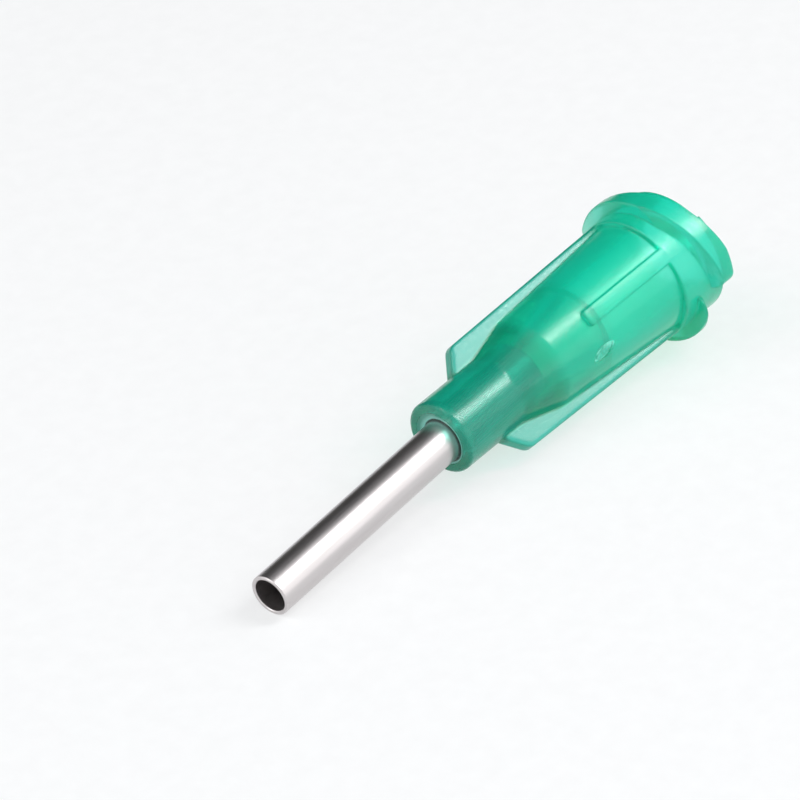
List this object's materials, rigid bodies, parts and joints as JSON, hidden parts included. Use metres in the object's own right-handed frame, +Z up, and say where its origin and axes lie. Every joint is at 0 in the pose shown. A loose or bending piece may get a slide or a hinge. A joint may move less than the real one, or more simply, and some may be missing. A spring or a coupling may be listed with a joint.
{
  "type": "dispensing needle tip",
  "caption": "Blunt dispensing needle tip: straight steel tube in a winged plastic hub with a tapered lock socket, for fitting to a syringe or dispenser.",
  "frame": {"origin": "middle of the rectangle the needle covers on the table, at table height", "axes": "+X points towards the tip of the tube, +Z up from the table; the needle lies as it rests, so its own axis runs along +X and dips about 5 degrees to the tip"},
  "size_m": [0.0304, 0.0078, 0.0079],
  "materials": {
    "hub_plastic": "translucent green polypropylene with a satin sheen",
    "tube_steel": "drawn stainless steel, satin, fine marks along the tube",
    "adhesive": "clear cured adhesive, glossy"
  },
  "bodies": {
    "root": {"hub": "hub_plastic", "needle_tube": "tube_steel", "adhesive_ring": "adhesive"}
  },
  "joints": []
}
